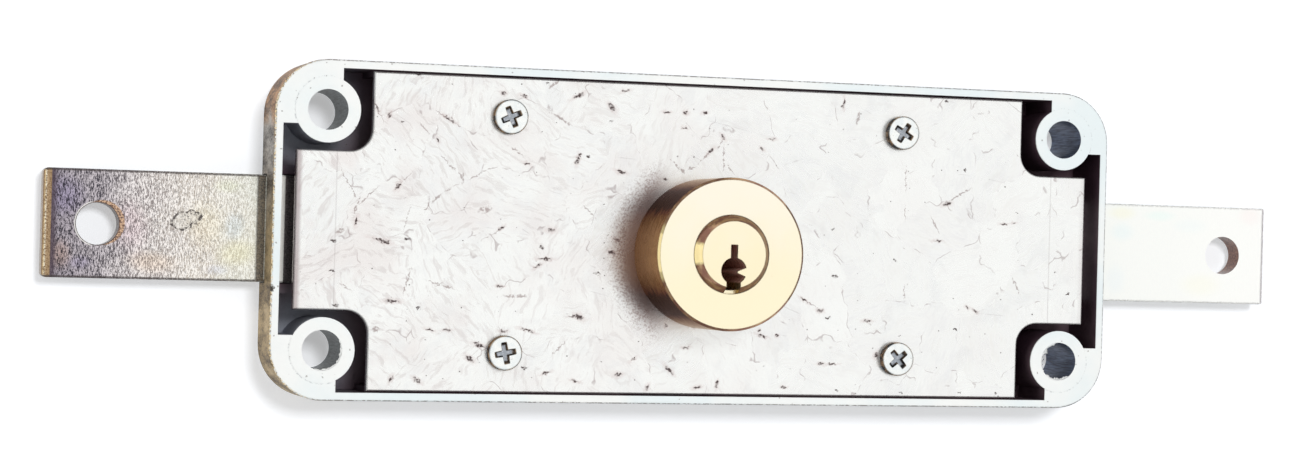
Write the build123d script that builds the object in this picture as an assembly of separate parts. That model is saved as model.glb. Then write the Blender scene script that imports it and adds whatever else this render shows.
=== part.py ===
"""Roller shutter lock: die-cast case, steel cover, round pin cylinder and two sliding flat bars.

The lock lies on its back. X runs along the bars, Y across the case and Z up out of the cover,
with the origin at the middle of the back face. All sizes are in millimetres.
"""

from build123d import *
import math
import os

# Case
case_length = 151.6
case_width = 56.8
case_depth = 12.5
case_corner_radius = 9.0
case_wall = 1.4
case_floor = 1.3
case_back_round = 0.6
case_rim_round = 0.3

# Corner bosses with the fixing holes
fixing_spacing_x = 134.0
fixing_spacing_y = 40.0
fixing_hole_diameter = 6.8
fixing_hole_chamfer = 0.4
boss_diameter = 11.0
boss_proud = 0.12
corner_block_reach = 2.45

# Cover plate
cover_thickness = 1.2
cover_sink = 0.85
cover_end_gap = 2.45
cover_side_gap = 0.25
cover_notch_gap_x = 2.3
cover_notch_gap_y = 1.2
cover_notch_radius = 3.8
cover_edge_round = 0.35
cover_ledge_width = 1.0

# Cover screws and their posts
screw_spacing_x = 71.5
screw_spacing_y = 40.0
screw_diameter = 3.0
screw_length = 8.0
screw_head_diameter = 5.9
screw_head_height = 1.6
screw_head_round = 0.45
screw_recess_span = 3.5
screw_recess_width = 0.85
screw_recess_depth = 1.1
screw_post_diameter = 8.0
post_web_thickness = 1.6
screw_hole_play = 0.2
fit_play = 0.05

# Sliding bars
bar_reach = 112.4
bar_width = 18.0
bar_thickness = 4.0
bar_hole_diameter = 7.0
bar_hole_from_end = 8.9
bar_corner_radius = 0.8
bar_end_round = 0.9
bar_edge_break = 0.25
bar_side_play = 0.2
bar_top_play = 0.2
bar_floor_play = 0.05
guide_rib_thickness = 1.6
guide_rib_height = 3.6
stop_post_diameter = 5.0
stop_post_play = 0.2
stop_post_inset = 2.6

# Rack and pinion that drives the bars
gear_module = 0.8
pinion_teeth = 8
pressure_angle = 30.0
pinion_addendum = 0.64
pinion_dedendum = 1.0
rack_addendum = 0.7
rack_dedendum = 0.85
gear_backlash = 0.12
rack_spare_teeth = 1
bar_end_gap = 1.6
pinion_flange_diameter = 12.0
pinion_flange_thickness = 0.8
pinion_hub_diameter = 8.4
pinion_hub_height = 0.9
pinion_pivot_diameter = 4.0
pinion_pivot_recess = 0.15

# Cylinder body
cylinder_offset_y = -2.3
cylinder_diameter = 26.0
cylinder_projection = 13.7
cylinder_face_chamfer = 0.4
neck_diameter = 18.0
neck_flat_width = 16.6
neck_past_nut = 0.1
nut_across_flats = 23.0
nut_thickness = 2.05

# Plug that the key turns
plug_diameter = 12.0
plug_head_diameter = 13.3
plug_head_depth = 1.0
plug_face_diameter = 11.24
plug_face_height = 1.43
plug_stem_diameter = 10.0
clip_inner_diameter = 8.5
clip_outer_diameter = 14.6
clip_thickness = 0.6
clip_mouth = 6.0
plug_end_lip = 0.25
tail_length = 6.0
tail_thickness = 1.8
tail_gap = 0.15

# Keyway, measured from the middle of the plug
keyway_slot_width = 1.2
keyway_slot_top = 1.65
keyway_round_diameter = 4.5
keyway_round_below = 2.77
keyway_mouth_width = 2.5
ward_reach = 1.6
ward_tip_height = 0.3
ward_root_height = 1.6
ward_below = 2.95

# Pin tumblers
pin_count = 4
pin_pitch = 3.05
pin_first_depth = 2.3
pin_diameter = 2.4
pin_lengths = (4.6, 5.4, 4.3, 5.0)
pin_point = 0.5
driver_pin_length = 2.6
chamber_cap_length = 1.3
spring_wire_diameter = 0.3
spring_turns = 4
running_play = 0.05
shear_gap = 0.12

# Levels above the back face
rim_z = case_depth
boss_z = rim_z + boss_proud
cover_top_z = rim_z - cover_sink
cover_bottom_z = cover_top_z - cover_thickness
bar_bottom_z = case_floor + bar_floor_play
bar_top_z = bar_bottom_z + bar_thickness
cylinder_face_z = cover_top_z + cylinder_projection
neck_bottom_z = cover_bottom_z - nut_thickness - neck_past_nut
clip_top_z = neck_bottom_z - tail_gap
clip_bottom_z = clip_top_z - clip_thickness
plug_end_z = clip_bottom_z - plug_end_lip
pinion_flange_z = bar_top_z + running_play * 2
pinion_top_z = pinion_flange_z + pinion_flange_thickness + pinion_hub_height
tail_end_z = pinion_flange_z + running_play * 2

# Sizes that follow from those above
inner_length = case_length - 2 * case_wall
inner_width = case_width - 2 * case_wall
cover_length = inner_length - 2 * cover_end_gap
cover_width = inner_width - 2 * cover_side_gap
pitch_radius = gear_module * pinion_teeth / 2
tooth_pitch = math.pi * gear_module
bar_stroke = pinion_teeth * tooth_pitch
rack_teeth = pinion_teeth + rack_spare_teeth
rack_reach = rack_teeth * tooth_pitch
bar_body_start = rack_reach + bar_end_gap
stop_slot_width = stop_post_diameter + 2 * stop_post_play
stop_post_x = bar_body_start + stop_post_inset + bar_stroke + stop_slot_width / 2
cylinder_axis = Pos(0, cylinder_offset_y, 0)


def disc(diameter, bottom, top):
    """A plain cylinder about the Z axis between two heights."""
    return Pos(0, 0, bottom) * extrude(Circle(diameter / 2), top - bottom)


def slab(length, width, bottom, top, radius=0.0):
    """A plate about the Z axis between two heights, with rounded corners if radius is given."""
    outline = RectangleRounded(length, width, radius) if radius else Rectangle(length, width)
    return Pos(0, 0, bottom) * extrude(outline, top - bottom)


def corners(spacing_x, spacing_y):
    """The four corners of a rectangle about the origin."""
    return [Pos(sx * spacing_x / 2, sy * spacing_y / 2, 0) for sx in (-1, 1) for sy in (-1, 1)]


def corner_signs():
    return [(sx, sy) for sx in (-1, 1) for sy in (-1, 1)]


def make_case():
    """Open box with corner bosses, screw posts, guide ribs and a window for a bar in each end."""
    outer = slab(case_length, case_width, 0, rim_z, case_corner_radius)
    outer = fillet(outer.faces().sort_by(Axis.Z)[0].outer_wire().edges(), case_back_round)
    outer = fillet(outer.faces().sort_by(Axis.Z)[-1].outer_wire().edges(), case_rim_round)
    cavity_radius = case_corner_radius - case_wall
    case = outer - slab(inner_length, inner_width, case_floor, rim_z, cavity_radius)
    envelope = slab(case_length - case_wall, case_width - case_wall, case_floor / 2, rim_z,
                    case_corner_radius - case_wall / 2)
    case += corner_blocks() & envelope
    for place in corners(fixing_spacing_x, fixing_spacing_y):
        case += place * disc(boss_diameter, case_floor / 2, boss_z)
    case += cover_ledges() + guide_ribs() + screw_posts()
    for side in (-1, 1):
        case += Pos(side * stop_post_x, 0, 0) * \
            disc(stop_post_diameter, case_floor / 2, bar_top_z + bar_top_play)
    for place in corners(fixing_spacing_x, fixing_spacing_y):
        case -= place * fixing_hole()
    for place in corners(screw_spacing_x, screw_spacing_y):
        bottom = cover_bottom_z - screw_length
        case -= place * disc(screw_diameter + 2 * fit_play, bottom, cover_bottom_z)
    window_width = bar_width + 2 * bar_side_play
    case -= slab(case_length + case_wall, window_width, case_floor, bar_top_z + bar_top_play)
    case -= cylinder_axis * disc(pinion_pivot_diameter + 2 * running_play, 0, case_floor)
    return case


def corner_blocks():
    """The solid corners between each boss and the two walls beside it."""
    blocks = []
    for sx, sy in corner_signs():
        inner_x = fixing_spacing_x / 2 - corner_block_reach
        inner_y = fixing_spacing_y / 2 - corner_block_reach
        length = case_length / 2 - inner_x
        width = case_width / 2 - inner_y
        place = Pos(sx * (inner_x + length / 2), sy * (inner_y + width / 2), 0)
        blocks.append(place * slab(length, width, case_floor / 2, rim_z))
    return Part() + blocks


def cover_ledges():
    """The step along each long wall that the cover's edge rests on."""
    length = fixing_spacing_x - 2 * (boss_diameter / 2 + cover_notch_gap_x)
    ledges = []
    for side in (-1, 1):
        place = Pos(0, side * (inner_width / 2 - cover_ledge_width / 2), 0)
        ledges.append(place * slab(length, cover_ledge_width, case_floor / 2, cover_bottom_z))
    return Part() + ledges


def guide_ribs():
    """The rib along each side of the bars."""
    offset = bar_width / 2 + bar_side_play + guide_rib_thickness / 2
    top = case_floor + guide_rib_height
    rib = slab(inner_length + case_wall, guide_rib_thickness, case_floor / 2, top)
    return Pos(0, offset, 0) * rib + Pos(0, -offset, 0) * rib


def screw_posts():
    """The four posts for the cover screws, each tied to the wall by a web."""
    posts = []
    web_length = inner_width / 2 - screw_spacing_y / 2
    for sx, sy in corner_signs():
        x = sx * screw_spacing_x / 2
        y = sy * screw_spacing_y / 2
        web = slab(post_web_thickness, web_length, case_floor / 2, cover_bottom_z)
        posts.append(Pos(x, y, 0) * disc(screw_post_diameter, case_floor / 2, cover_bottom_z))
        posts.append(Pos(x, sy * (inner_width / 2 - web_length / 2), 0) * web)
    return Part() + posts


def fixing_hole():
    """A through hole with a small countersink at each end."""
    radius = fixing_hole_diameter / 2
    wide = radius + fixing_hole_chamfer
    flare = Pos(0, 0, fixing_hole_chamfer / 2) * Cone(wide, radius, fixing_hole_chamfer)
    return disc(fixing_hole_diameter, 0, boss_z) + flare


def make_cover_plate():
    """Steel sheet with a notch round each boss and a hole with two flats for the cylinder's neck."""
    plate = Rectangle(cover_length, cover_width)
    notch_x = fixing_spacing_x / 2 - boss_diameter / 2 - cover_notch_gap_x
    notch_y = fixing_spacing_y / 2 - boss_diameter / 2 - cover_notch_gap_y
    for sx, sy in corner_signs():
        plate -= Pos(sx * (notch_x + cover_length / 2), sy * (notch_y + cover_width / 2)) * \
            RectangleRounded(cover_length, cover_width, cover_notch_radius)
    for place in corners(screw_spacing_x, screw_spacing_y):
        plate -= place * Circle(screw_diameter / 2 + screw_hole_play)
    plate -= cylinder_axis * neck_outline(fit_play)
    sheet = Pos(0, 0, cover_bottom_z) * extrude(plate, cover_thickness)
    top = sheet.faces().sort_by(Axis.Z)[-1]
    return fillet(top.outer_wire().edges(), cover_edge_round)


def neck_outline(play=0.0):
    """Circle with two flats, the section of the cylinder's neck."""
    round_part = Circle(neck_diameter / 2 + play)
    return round_part & Rectangle(neck_flat_width + 2 * play, neck_diameter + 2 * play)


def make_cover_screw(angle):
    """Pan head machine screw with a cross recess turned by angle, standing on the Z axis."""
    head = disc(screw_head_diameter, cover_top_z, cover_top_z + screw_head_height)
    head = fillet(head.faces().sort_by(Axis.Z)[-1].edges(), screw_head_round)
    shank = disc(screw_diameter, cover_bottom_z - screw_length + fit_play * 2, cover_top_z)
    return head + shank - Rot(0, 0, angle) * cross_recess()


def cross_recess():
    """Two crossing tapered slots, widest at the top of the screw's head."""
    top = cover_top_z + screw_head_height
    arms = Part()
    for turn in (0, 90):
        mouth = Pos(0, 0, top) * Rectangle(screw_recess_span, screw_recess_width)
        bottom = Pos(0, 0, top - screw_recess_depth) * \
            Rectangle(screw_recess_span / 3, screw_recess_width * 0.7)
        arms += Rot(0, 0, turn) * loft([bottom.face(), mouth.face()])
    return arms


def make_bar(rack_line):
    """Flat bar that leaves the case at +X, with its rack arm on the +Y side of the pinion.

    rack_line is the height in Y of the rack's pitch line, and the teeth point to -Y.
    """
    half = bar_width / 2
    length = bar_reach - bar_body_start
    outline = Pos(bar_body_start + length / 2, 0) * Rectangle(length, bar_width)
    arm_root = rack_line + rack_dedendum
    arm_length = bar_body_start + rack_reach
    outline += Pos(bar_body_start - arm_length / 2, (arm_root + half) / 2) * \
        Rectangle(arm_length, half - arm_root)
    for number in range(-rack_teeth, rack_spare_teeth + 1):
        outline += Pos((number + 0.5) * tooth_pitch, 0) * rack_tooth(rack_line)
    outline -= Pos(bar_reach - bar_hole_from_end, 0) * Circle(bar_hole_diameter / 2)
    outline -= Pos(stop_post_x - bar_stroke / 2, 0) * SlotCenterToCenter(bar_stroke, stop_slot_width)
    bar = Pos(0, 0, bar_bottom_z) * extrude(outline.faces()[0], bar_thickness)
    end_face = bar.faces().sort_by(Axis.X)[-1]
    bar = fillet(end_face.edges().sort_by(Axis.Z)[-1], bar_end_round)
    bar &= slab(2 * bar_reach, bar_width, bar_bottom_z, bar_top_z, bar_corner_radius)
    return bar - edge_breaks()


def edge_breaks():
    """Square prisms on edge along the four long edges of a bar, which take them off at 45 degrees."""
    prism = Rot(45, 0, 0) * Box(3 * bar_reach, bar_edge_break * math.sqrt(2), bar_edge_break * math.sqrt(2))
    half = bar_width / 2
    return Part() + [Pos(0, side * half, z) * prism for side in (-1, 1) for z in (bar_bottom_z, bar_top_z)]


def rack_tooth(rack_line):
    """One straight-sided rack tooth, centred on X 0 and pointing to -Y."""
    slope = math.tan(math.radians(pressure_angle))
    half = tooth_pitch / 4 - gear_backlash / 4
    root = half + rack_dedendum * slope
    tip = half - rack_addendum * slope
    top = rack_line + rack_dedendum
    bottom = rack_line - rack_addendum
    return make_face(Polyline((-root, top), (-tip, bottom), (tip, bottom), (root, top), close=True))


def involute(angle):
    return math.tan(angle) - angle


def pinion_outline():
    """Gear section whose flanks follow the involute of the rack's pressure angle."""
    alpha = math.radians(pressure_angle)
    base = pitch_radius * math.cos(alpha)
    tip = pitch_radius + pinion_addendum
    half_pitch = (tooth_pitch / 2 - gear_backlash / 2) / (2 * pitch_radius)
    steps = 4

    def half_angle(radius):
        return half_pitch + involute(alpha) - involute(math.acos(min(1.0, base / radius)))

    radii = [base + (tip - base) * n / steps for n in range(steps + 1)]
    flank = [(pitch_radius - pinion_dedendum, half_angle(base))] + [(r, half_angle(r)) for r in radii]
    points = []
    for tooth in range(pinion_teeth):
        middle = math.pi / 2 + 2 * math.pi * tooth / pinion_teeth
        rising = [(radius, middle - half) for radius, half in flank]
        falling = [(radius, middle + half) for radius, half in reversed(flank)]
        points += [(r * math.cos(a), r * math.sin(a)) for r, a in rising + falling]
    return make_face(Polyline(*points, close=True))


def make_pinion():
    """Pinion with a pivot in the case floor, a flange over the racks and a slot for the tail."""
    gear = Pos(0, 0, bar_bottom_z) * extrude(pinion_outline(), pinion_flange_z - bar_bottom_z)
    gear += disc(pinion_pivot_diameter, pinion_pivot_recess, bar_bottom_z)
    flange_top = pinion_flange_z + pinion_flange_thickness
    gear += disc(pinion_flange_diameter, pinion_flange_z, flange_top)
    gear += disc(pinion_hub_diameter, flange_top, pinion_top_z)
    slot_length = tail_length + 4 * running_play
    slot_width = tail_thickness + 4 * running_play
    gear -= slab(slot_length, slot_width, tail_end_z - running_play, pinion_top_z)
    return cylinder_axis * gear


def pin_heights():
    """Height of each pin chamber, from the front one inwards."""
    return [cylinder_face_z - pin_first_depth - n * pin_pitch for n in range(pin_count)]


def upright_pin(height, start, end, diameter):
    """A round pin square to the plug, running from one distance off the plug's axis to another."""
    pin = Pos(0, start, height) * Rot(-90, 0, 0) * extrude(Circle(diameter / 2), end - start)
    return cylinder_axis * pin


def make_cylinder_body():
    """Brass body with the plug's bore, a threaded neck with two flats and a row of pin chambers."""
    barrel = disc(cylinder_diameter, cover_top_z, cylinder_face_z)
    barrel = chamfer(barrel.faces().sort_by(Axis.Z)[-1].edges(), cylinder_face_chamfer)
    neck = Pos(0, 0, neck_bottom_z) * extrude(neck_outline(), cover_top_z - neck_bottom_z)
    body = barrel + neck
    body -= disc(plug_diameter + 2 * running_play, neck_bottom_z, cylinder_face_z)
    seat_z = cylinder_face_z - plug_head_depth
    body -= disc(plug_head_diameter + 2 * running_play, seat_z, cylinder_face_z)
    body = cylinder_axis * body
    for height in pin_heights():
        chamber = upright_pin(height, 0, cylinder_diameter / 2, pin_diameter + 2 * fit_play)
        body -= chamber
    return body


def make_chamber_caps():
    """The four brass caps that close the pin chambers, flush with the side of the cylinder."""
    end = cylinder_diameter / 2
    caps = Part()
    for height in pin_heights():
        cap = upright_pin(height, end - chamber_cap_length, end, pin_diameter)
        caps += cap & cylinder_axis * disc(cylinder_diameter, cover_top_z, cylinder_face_z)
    return caps


def make_cylinder_nut():
    """Hexagon nut that clamps the cylinder's neck under the cover plate."""
    section = RegularPolygon(nut_across_flats / 2, 6, major_radius=False)
    section -= Circle(neck_diameter / 2 + fit_play)
    return cylinder_axis * Pos(0, 0, cover_bottom_z - nut_thickness) * extrude(section, nut_thickness)


def make_driver_pin(number):
    """Driver pin in the body, with its end just outside the plug."""
    start = plug_diameter / 2 + shear_gap
    return upright_pin(pin_heights()[number], start, start + driver_pin_length, pin_diameter)


def make_pin_spring(number):
    """Coil spring between a driver pin and its chamber cap."""
    start = plug_diameter / 2 + shear_gap + driver_pin_length
    end = cylinder_diameter / 2 - chamber_cap_length
    height = end - start - spring_wire_diameter
    radius = (pin_diameter - spring_wire_diameter) / 2
    path = Helix(pitch=height / spring_turns, height=height, radius=radius)
    section = Plane(origin=path @ 0, z_dir=path % 0) * Circle(spring_wire_diameter / 2)
    spring = sweep(section, path=path, is_frenet=True)
    place = Pos(0, start + spring_wire_diameter / 2, pin_heights()[number]) * Rot(-90, 0, 0)
    return cylinder_axis * place * spring


def make_key_pin(number):
    """Pointed pin in the plug, lifted to the shear line as the right key holds it."""
    end = plug_diameter / 2 - shear_gap
    start = end - pin_lengths[number]
    pin = upright_pin(pin_heights()[number], start, end, pin_diameter)
    return chamfer(pin.faces().sort_by(Axis.Y)[0].edges(), pin_point)


def keyway_outline():
    """Slot, round part and mouth of the keyway, with the ward that stands into it."""
    slot_bottom = -keyway_round_below
    slot_height = keyway_slot_top - slot_bottom
    outline = Pos(0, slot_bottom + slot_height / 2) * Rectangle(keyway_slot_width, slot_height)
    outline += Pos(0, slot_bottom) * Circle(keyway_round_diameter / 2)
    mouth_height = plug_head_diameter / 2 - keyway_round_below
    outline += Pos(0, slot_bottom - mouth_height / 2) * Rectangle(keyway_mouth_width, mouth_height)
    edge = keyway_round_diameter / 2
    tip = edge - ward_reach
    ward = Polyline((edge, -ward_below + ward_root_height / 2), (tip, -ward_below + ward_tip_height / 2),
                    (tip, -ward_below - ward_tip_height / 2), (edge, -ward_below - ward_root_height / 2),
                    close=True)
    return outline - make_face(ward)


def make_plug():
    """Turned plug with a bevelled head, keyway, pin holes, clip groove and flat tail."""
    seat_z = cylinder_face_z - plug_head_depth
    face_z = cylinder_face_z + plug_face_height
    plug = disc(plug_diameter, neck_bottom_z + running_play, seat_z + running_play)
    plug += disc(plug_head_diameter, seat_z + running_play, cylinder_face_z)
    bevel = Cone(plug_head_diameter / 2, plug_face_diameter / 2, plug_face_height)
    plug += Pos(0, 0, (cylinder_face_z + face_z) / 2) * bevel
    plug += disc(plug_stem_diameter, plug_end_z, neck_bottom_z + running_play)
    groove = disc(plug_stem_diameter, clip_bottom_z, clip_top_z)
    plug -= groove - disc(clip_inner_diameter - 2 * fit_play, clip_bottom_z, clip_top_z)
    plug -= Pos(0, 0, neck_bottom_z) * extrude(keyway_outline(), face_z - neck_bottom_z)
    plug += slab(tail_length, tail_thickness, tail_end_z, plug_end_z)
    plug = cylinder_axis * plug
    for height in pin_heights():
        plug -= upright_pin(height, 0, plug_head_diameter / 2, pin_diameter + 2 * fit_play)
    return plug


def make_plug_clip():
    """Open ring that snaps into the plug's groove and holds the plug in the body."""
    ring = Circle(clip_outer_diameter / 2) - Circle(clip_inner_diameter / 2)
    ring -= Pos(0, -clip_outer_diameter / 2) * Rectangle(clip_mouth, clip_outer_diameter)
    thickness = clip_thickness - 2 * fit_play
    return cylinder_axis * Pos(0, 0, clip_bottom_z + fit_play) * extrude(ring, thickness)


def build_parts():
    """Every piece of the lock by the name of its node."""
    parts = {
        "case": make_case(),
        "cover_plate": make_cover_plate(),
        "cylinder_body": make_cylinder_body(),
        "cylinder_nut": make_cylinder_nut(),
        "chamber_caps": make_chamber_caps(),
        "plug": make_plug(),
        "plug_clip": make_plug_clip(),
        "pinion": make_pinion(),
        "right_bar": make_bar(cylinder_offset_y + pitch_radius),
        "left_bar": Rot(0, 0, 180) * make_bar(pitch_radius - cylinder_offset_y),
    }
    screw_angles = {"left_lower": 11, "left_upper": 24, "right_lower": 40, "right_upper": -31}
    places = corners(screw_spacing_x, screw_spacing_y)
    for place, (name, angle) in zip(places, screw_angles.items()):
        parts[f"cover_screw_{name}"] = place * make_cover_screw(angle)
    for number in range(pin_count):
        parts[f"key_pin_{number + 1}"] = make_key_pin(number)
        parts[f"driver_pin_{number + 1}"] = make_driver_pin(number)
        parts[f"pin_spring_{number + 1}"] = make_pin_spring(number)
    return parts


os.makedirs("parts", exist_ok=True)
for node, shape in build_parts().items():
    export_step(shape, f"parts/{node}.step")
    print(node, "volume", round(shape.volume, 1))
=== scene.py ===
# %% [markdown]
# # Dressing a roller shutter lock
# The lock comes from CAD with every piece in its right place: a cast case, a sheet steel cover,
# two flat bars, a brass cylinder and the small parts inside. In this lesson each piece gets the
# finish it has on the real lock, and a few pieces are made anew where a curved shape shows more
# than the CAD solid does. Lengths are in metres, with X along the bars, Y across the case and
# Z up out of the cover.

# %% Load the pieces
import math
from functools import partial, reduce

import bpy
import numpy as np
from mathutils import Matrix, Vector


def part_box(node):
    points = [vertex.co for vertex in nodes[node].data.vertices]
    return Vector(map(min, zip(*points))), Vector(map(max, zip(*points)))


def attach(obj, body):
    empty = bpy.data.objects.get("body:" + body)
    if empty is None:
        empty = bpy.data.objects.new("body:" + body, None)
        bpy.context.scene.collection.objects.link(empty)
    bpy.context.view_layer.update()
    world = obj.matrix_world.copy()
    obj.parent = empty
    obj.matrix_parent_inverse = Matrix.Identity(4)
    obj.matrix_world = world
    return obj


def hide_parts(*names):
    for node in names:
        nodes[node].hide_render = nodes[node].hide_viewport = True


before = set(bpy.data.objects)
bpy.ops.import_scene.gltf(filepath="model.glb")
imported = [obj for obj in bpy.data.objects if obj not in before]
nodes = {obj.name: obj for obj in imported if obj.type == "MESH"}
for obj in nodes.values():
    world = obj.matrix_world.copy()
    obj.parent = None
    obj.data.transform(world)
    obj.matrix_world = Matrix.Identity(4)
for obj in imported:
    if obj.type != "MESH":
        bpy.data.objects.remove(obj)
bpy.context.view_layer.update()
scene = bpy.context.scene
MM = 0.001
print("pieces from CAD:", len(nodes))

# %% [markdown]
# ## Sizes taken from the pieces
# Sizes that the patterns follow are read from the pieces' own boxes, in millimetres, so that
# each finish stays in place when the CAD changes.

# %% Read the sizes


def box_mm(name):
    """Lowest and highest corner of a piece, in mm, as two arrays."""
    low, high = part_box(name)
    return np.array(low) / MM, np.array(high) / MM


case_high = box_mm("case")[1]
cover_high = box_mm("cover_plate")[1]
cylinder_low, cylinder_high = box_mm("cylinder_body")
cylinder_axis = (cylinder_low + cylinder_high)[:2] / 2
CASE_CORNER = 9.0
CASE_WALL = 1.4
FIXING_HOLE = np.array([67.0, 20.0])
HOLE_RADIUS = 3.4
print("case half size and height:", case_high.round(2), "cylinder axis:", cylinder_axis.round(2))

# %% [markdown]
# ## The camera
# The photo looks down on the lock from its left. The camera's place and turn were worked out
# beforehand from the outline of the case, the holes and the cylinder, which only one place sees as
# the photo does. The turn is a yaw, a pitch and a roll, and the lens is the focal length in pixels
# carried over to a 36 mm wide sensor.

# %% Place the camera
PHOTO_WIDTH = 1301
FOCAL_PIXELS = 2747.8
camera_place = Vector((-0.1497, -0.00277, 0.46423))
yaw, pitch, roll = 0.29901, -0.00641, -0.02658
turn = Matrix.Rotation(roll, 3, "Z") @ Matrix.Rotation(pitch, 3, "X") @ Matrix.Rotation(yaw, 3, "Y")

optics = bpy.data.cameras.new("photo_camera")
optics.sensor_fit = "HORIZONTAL"
optics.sensor_width = 36.0
optics.lens = 36.0 * FOCAL_PIXELS / PHOTO_WIDTH
optics.clip_start = 0.01
camera = bpy.data.objects.new("photo_camera", optics)
camera.matrix_world = Matrix.Translation(camera_place) @ turn.transposed().to_4x4()
scene.collection.objects.link(camera)
scene.camera = camera
print("lens in mm:", round(optics.lens, 2))

# %% [markdown]
# Because the camera is known, a place read off the photo can be carried to the lock: the ray
# through a pixel is followed down to a plane of known height. Marks on the cover and tints on
# the bars are placed in this way.

# %% From the photo to the lock
PHOTO_CENTRE = np.array([650.5, 237.5])
cover_top = cover_high[2]
bar_top = box_mm("left_bar")[1][2]


def on_plane(column, row, height):
    """The point in mm where a pixel's ray is at this height: camera + reach * ray."""
    across, down = (np.array([column, row]) - PHOTO_CENTRE) / FOCAL_PIXELS
    ray = turn.transposed() @ Vector((across, -down, -1.0))
    reach = (height - camera_place.z / MM) / ray.z
    return camera_place.x / MM + reach * ray.x, camera_place.y / MM + reach * ray.y


print("the photo's middle on the cover:", np.round(on_plane(*PHOTO_CENTRE, cover_top), 1))

# %% [markdown]
# ## Small helpers for shader nodes
# A material is a tree of nodes, and one helper makes a node, sets it and links it. A value that is
# a node or a socket is linked, and anything else is written into the input. The other helpers find
# their tree from the values that they are given, so a mask can be written as a formula. Masks run
# from 0 to 1.

# %% Node helpers


def add(tree, kind, inputs=None, **settings):
    """Adds a node, sets its properties, and links or fills its inputs."""
    node = tree.nodes.new("ShaderNode" + kind)
    for name, value in settings.items():
        setattr(node, name, value)
    for name, value in (inputs or {}).items():
        if isinstance(name, int):
            socket = node.inputs[name]
        else:
            socket = [s for s in node.inputs if s.enabled and s.name == name][0]
        connect(value, socket)
    return node


def connect(value, socket):
    """Links a node or an output to an input, or writes a plain value into it."""
    if isinstance(value, bpy.types.Node):
        value = [s for s in value.outputs if s.enabled][0]
    if isinstance(value, bpy.types.NodeSocket):
        socket.id_data.links.new(value, socket)
    elif socket.type == "RGBA":
        socket.default_value = (*value, 1.0)
    else:
        socket.default_value = value


def tree_of(*values):
    """The tree in which the first node or socket among the values stands."""
    return [v for v in values if isinstance(v, (bpy.types.Node, bpy.types.NodeSocket))][0].id_data


def maths(operation, *values):
    """A Math node on one to three values."""
    return add(tree_of(*values), "Math", dict(enumerate(values)), operation=operation)


def chain(operation):
    """A function that joins two or more values by one operation, from left to right."""
    return lambda *values: reduce(partial(maths, operation), values)


times, plus, minus = chain("MULTIPLY"), chain("ADD"), chain("SUBTRACT")
larger, smaller = chain("MAXIMUM"), chain("MINIMUM")
unsigned = partial(maths, "ABSOLUTE")


def vectors(operation, *values):
    """A Vector Math node on one to three vectors. SCALE takes its number as the input Scale."""
    inputs = {0: values[0], "Scale": values[1]} if operation == "SCALE" else dict(enumerate(values))
    return add(tree_of(*values), "VectorMath", inputs, operation=operation)


length_of = partial(vectors, "LENGTH")


def parts_of(vector):
    """The X, Y and Z of a vector."""
    return add(tree_of(vector), "SeparateXYZ", {"Vector": vector}).outputs


def facing_of(tree):
    """The X, Y and Z of the direction in which the surface faces."""
    return parts_of(add(tree, "NewGeometry").outputs["Normal"])


def level_length(vector):
    """The length of a vector as seen from above."""
    return length_of(vectors("MULTIPLY", vector, (1.0, 1.0, 0.0)))


def ramp(value, low, high, first=0.0, last=1.0):
    """Straight from first, where value is at low, to last, where it is at high."""
    inputs = {"Value": value, "From Min": low, "From Max": high, "To Min": first, "To Max": last}
    return add(tree_of(value), "MapRange", inputs)


def fade(value, low, high):
    """0 where value is at low, 1 where it is at high, smooth between. low may be the larger one."""
    inputs = {"Value": value, "From Min": low, "From Max": high}
    return add(tree_of(value), "MapRange", inputs, interpolation_type="SMOOTHSTEP")


def mix(amount, first, second, **settings):
    """The first colour where amount is 0 and the second where it is 1."""
    inputs = {"Factor": amount, "A": first, "B": second}
    return add(tree_of(amount), "Mix", inputs, data_type="RGBA", **settings)


def coats(colour, *layers):
    """A colour with others laid over it in turn. A layer is the masks that are multiplied for it,
    and then its colour."""
    for *masks, tone in layers:
        colour = mix(times(*masks), colour, tone)
    return colour


def noise(vector, scale, detail=3.0, roughness=0.5):
    """Soft random values round 0.5."""
    inputs = {"Vector": vector, "Scale": scale, "Detail": detail, "Roughness": roughness}
    return add(tree_of(vector), "TexNoise", inputs).outputs["Fac"]


def stretched(vector, factors, detail=3.0, roughness=0.5):
    """Noise on a vector that is multiplied by three factors first."""
    return noise(vectors("MULTIPLY", vector, factors), 1.0, detail, roughness)


def shaken(vector, scale, detail, amount):
    """A vector with a random shift of up to half the amount each way."""
    shift = add(tree_of(vector), "TexNoise", {"Vector": vector, "Scale": scale, "Detail": detail})
    shift = vectors("SUBTRACT", shift.outputs["Color"], (0.5, 0.5, 0.5))
    return vectors("ADD", vector, vectors("SCALE", shift, amount))


def voronoi(vector, scale, **settings):
    """The outputs of a pattern of random cells in a plane."""
    inputs = {"Vector": vector, "Scale": scale}
    return add(tree_of(vector), "TexVoronoi", inputs, voronoi_dimensions="2D", **settings).outputs


def colour_steps(value, stops):
    """A colour ramp through (position, colour) stops."""
    steps = add(tree_of(value), "ValToRGB", {"Fac": value})
    elements = steps.color_ramp.elements
    while len(elements) < len(stops):
        elements.new(0.5)
    for element, (position, colour) in zip(elements, stops):
        element.position = position
        element.color = (*colour, 1.0)
    return steps.outputs["Color"]


# %% [markdown]
# ## Effects that several finishes share
# Flecks, scratches, turning marks and worn edges appear on more than one metal. Each is a node
# group with named inputs, built once and placed in a material with its own numbers. A group gives
# only a mask or a height, and each material decides what to do with it.

# %% A helper for node groups


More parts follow.
